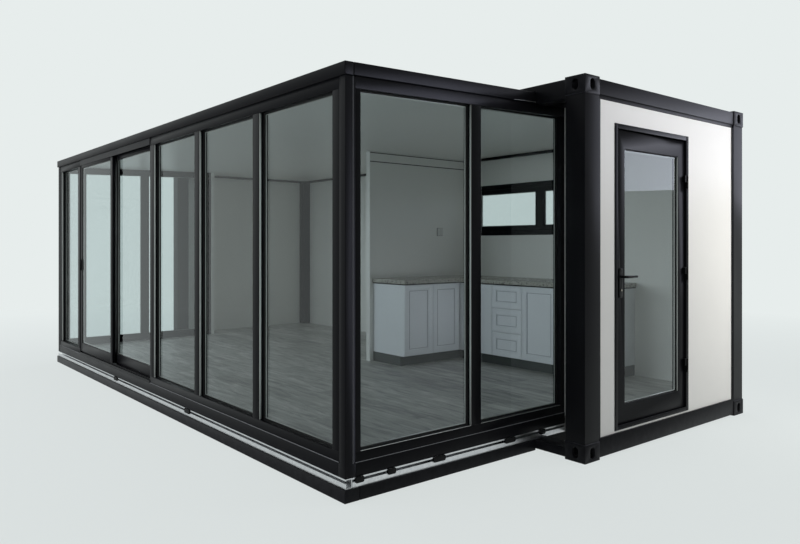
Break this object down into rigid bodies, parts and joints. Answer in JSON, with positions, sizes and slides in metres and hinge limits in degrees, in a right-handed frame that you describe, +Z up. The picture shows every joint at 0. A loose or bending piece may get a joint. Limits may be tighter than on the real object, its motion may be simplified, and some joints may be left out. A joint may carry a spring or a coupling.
{
  "type": "tiny house",
  "caption": "Container-frame tiny house with a white panelled core, a glazed entrance door and a glass-walled wing with a sliding door and a raked roof.",
  "frame": {"origin": "middle of the house's outer box, on the ground", "axes": "+X along the house towards the entrance-door end, +Y from the glass wing to the back wall, +Z up"},
  "size_m": [6.933, 3.8, 2.53],
  "materials": {
    "black_steel": "satin",
    "galvanised_steel": "satin",
    "black_aluminium": "satin",
    "black_fittings": "satin",
    "black_blocks": "matte",
    "grey_glass": "gloss",
    "white_panel": "satin",
    "floor_boards": "satin",
    "cabinet_paint": "satin",
    "plinth_board": "matte",
    "worktop_stone": "satin"
  },
  "bodies": {
    "house": {"corner_castings": "black_steel", "corner_posts": "black_steel", "core_bottom_rails": "black_steel", "core_top_rails": "black_steel", "wing_base_beams": "black_steel", "wing_sill_beams": "black_steel", "wing_corner_posts": "black_steel", "wing_roof_beams": "black_steel", "wing_track_channels": "galvanised_steel", "window_bottom_rails": "black_aluminium", "window_head_rails": "black_aluminium", "window_stiles": "black_aluminium", "window_mullions": "black_aluminium", "door_frame_jambs": "black_aluminium", "door_frame_head_and_threshold": "black_aluminium", "strip_window_frame": "black_aluminium", "sliding_door_tracks": "black_aluminium", "door_hinge_pins": "black_fittings", "wing_track_blocks": "black_blocks", "front_glass": "grey_glass", "end_glass": "grey_glass", "strip_window_glass": "grey_glass", "door_wall_sides": "white_panel", "door_wall_over_and_under": "white_panel", "far_end_wall": "white_panel", "back_wall_sides": "white_panel", "back_wall_over_and_under": "white_panel", "recess_jambs": "white_panel", "kitchen_partition": "white_panel", "wing_roof_panel": "white_panel", "core_roof": "white_panel", "core_floor": "floor_boards", "wing_floor": "floor_boards", "kitchen_carcasses": "cabinet_paint", "kitchen_fronts": "cabinet_paint", "kitchen_plinth": "plinth_board", "kitchen_worktop": "worktop_stone"},
    "entrance_door": {"door_leaf": "black_aluminium", "door_glass": "grey_glass", "door_handle_plates": "black_fittings", "door_hinge_knuckles": "black_fittings"},
    "lever": {"door_lever": "black_fittings"},
    "outer_leaf": {"outer_leaf_stiles": "black_aluminium", "outer_leaf_rails": "black_aluminium", "outer_leaf_glass": "grey_glass", "outer_leaf_pull": "black_fittings"},
    "inner_leaf": {"inner_leaf_stiles": "black_aluminium", "inner_leaf_rails": "black_aluminium", "inner_leaf_glass": "grey_glass"}
  },
  "joints": [
    {"name": "entrance_door_hinge", "type": "hinge", "parent": "house", "child": "entrance_door", "pos_m": [3.4325, 0.9855, 1.2], "axis": [0, 0, 1], "range_deg": [0, 100]},
    {"name": "door_lever_turn", "type": "hinge", "parent": "entrance_door", "child": "lever", "pos_m": [3.387, 0.13, 1.2], "axis": [-1, 0, 0], "range_deg": [0, 40], "stiffness_Nm_per_rad": 2, "springref_deg": -28.65},
    {"name": "outer_leaf_slide", "type": "slide", "parent": "house", "child": "outer_leaf", "axis": [1, 0, 0], "range_m": [0, 1.04]},
    {"name": "inner_leaf_slide", "type": "slide", "parent": "house", "child": "inner_leaf", "axis": [-1, 0, 0], "range_m": [0, 1.04]}
  ]
}
